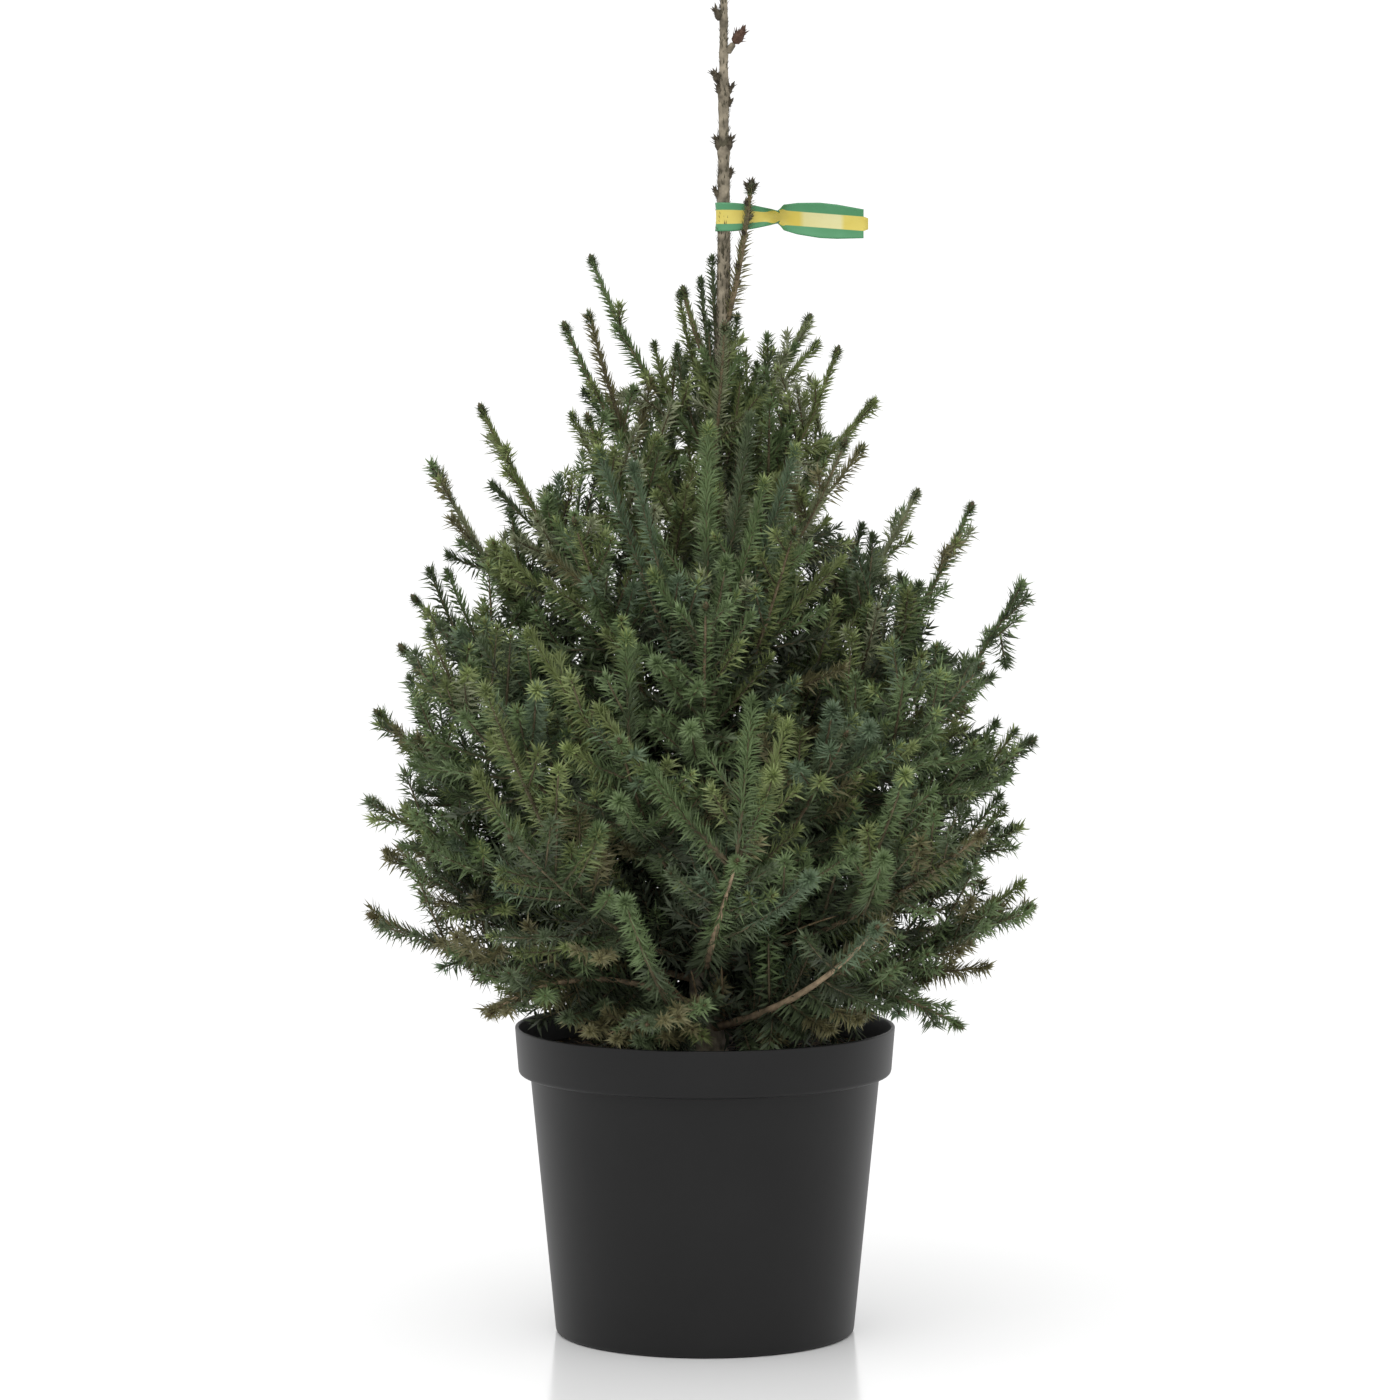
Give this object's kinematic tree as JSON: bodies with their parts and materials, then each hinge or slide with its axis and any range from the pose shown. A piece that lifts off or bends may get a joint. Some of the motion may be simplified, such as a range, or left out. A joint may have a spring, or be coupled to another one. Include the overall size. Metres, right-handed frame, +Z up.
{
  "type": "potted serbian spruce",
  "caption": "Young spruce with a bare leader over a dense cone of upswept needled boughs, growing in a round tapered nursery pot with a deep collar, a striped ribbon tied to the leader.",
  "frame": {"origin": "centre of the pot's flat underside", "axes": "+Z up along the pot axis, -Y towards the side seen in the picture, +X to the right of that side, where the ribbon points"},
  "size_m": [0.4861, 0.4437, 1.015],
  "materials": {
    "pot_plastic": "satin black moulded plastic",
    "soil": "loose dark potting soil",
    "bark": "rough grey-brown bark",
    "needles": "dark green needles, slightly glossy",
    "ribbon": "green plastic tape with a yellow stripe"
  },
  "bodies": {
    "root": {"bough_lower_3": "bark", "bough_skirt_1": "bark", "bough_skirt_2": "bark", "bough_skirt_3": "bark", "bough_skirt_4": "bark", "bough_skirt_5": "bark", "bough_skirt_6": "bark", "bough_skirt_7": "bark", "bough_skirt_8": "bark", "foliage_lower_1": "needles", "foliage_lower_2": "needles", "foliage_lower_3": "needles", "foliage_lower_4": "needles", "foliage_lower_5": "needles", "foliage_lower_6": "needles", "foliage_middle_1": "needles", "foliage_middle_2": "needles", "foliage_middle_3": "needles", "foliage_middle_4": "needles", "foliage_middle_5": "needles", "foliage_middle_6": "needles", "foliage_middle_7": "needles", "foliage_middle_8": "needles", "foliage_neck_1": "needles", "foliage_neck_2": "needles", "foliage_neck_3": "needles", "foliage_neck_4": "needles", "foliage_neck_5": "needles", "foliage_shoulder_1": "needles", "foliage_shoulder_2": "needles", "foliage_shoulder_3": "needles", "foliage_shoulder_4": "needles", "foliage_shoulder_5": "needles", "foliage_shoulder_6": "needles", "foliage_skirt_1": "needles", "foliage_skirt_2": "needles", "foliage_skirt_3": "needles", "foliage_skirt_4": "needles", "foliage_skirt_5": "needles", "foliage_skirt_6": "needles", "foliage_skirt_7": "needles", "foliage_skirt_8": "needles", "foliage_top_1": "needles", "foliage_top_2": "needles", "foliage_upper_1": "needles", "foliage_upper_2": "needles", "foliage_upper_3": "needles", "foliage_upper_4": "needles", "foliage_upper_5": "needles", "foliage_upper_6": "needles", "foliage_waist_1": "needles", "foliage_waist_2": "needles", "foliage_waist_3": "needles", "foliage_waist_4": "needles", "foliage_waist_5": "needles", "foliage_waist_6": "needles", "pot": "pot_plastic", "ribbon": "ribbon", "soil": "soil", "trunk": "bark"}
  },
  "joints": []
}
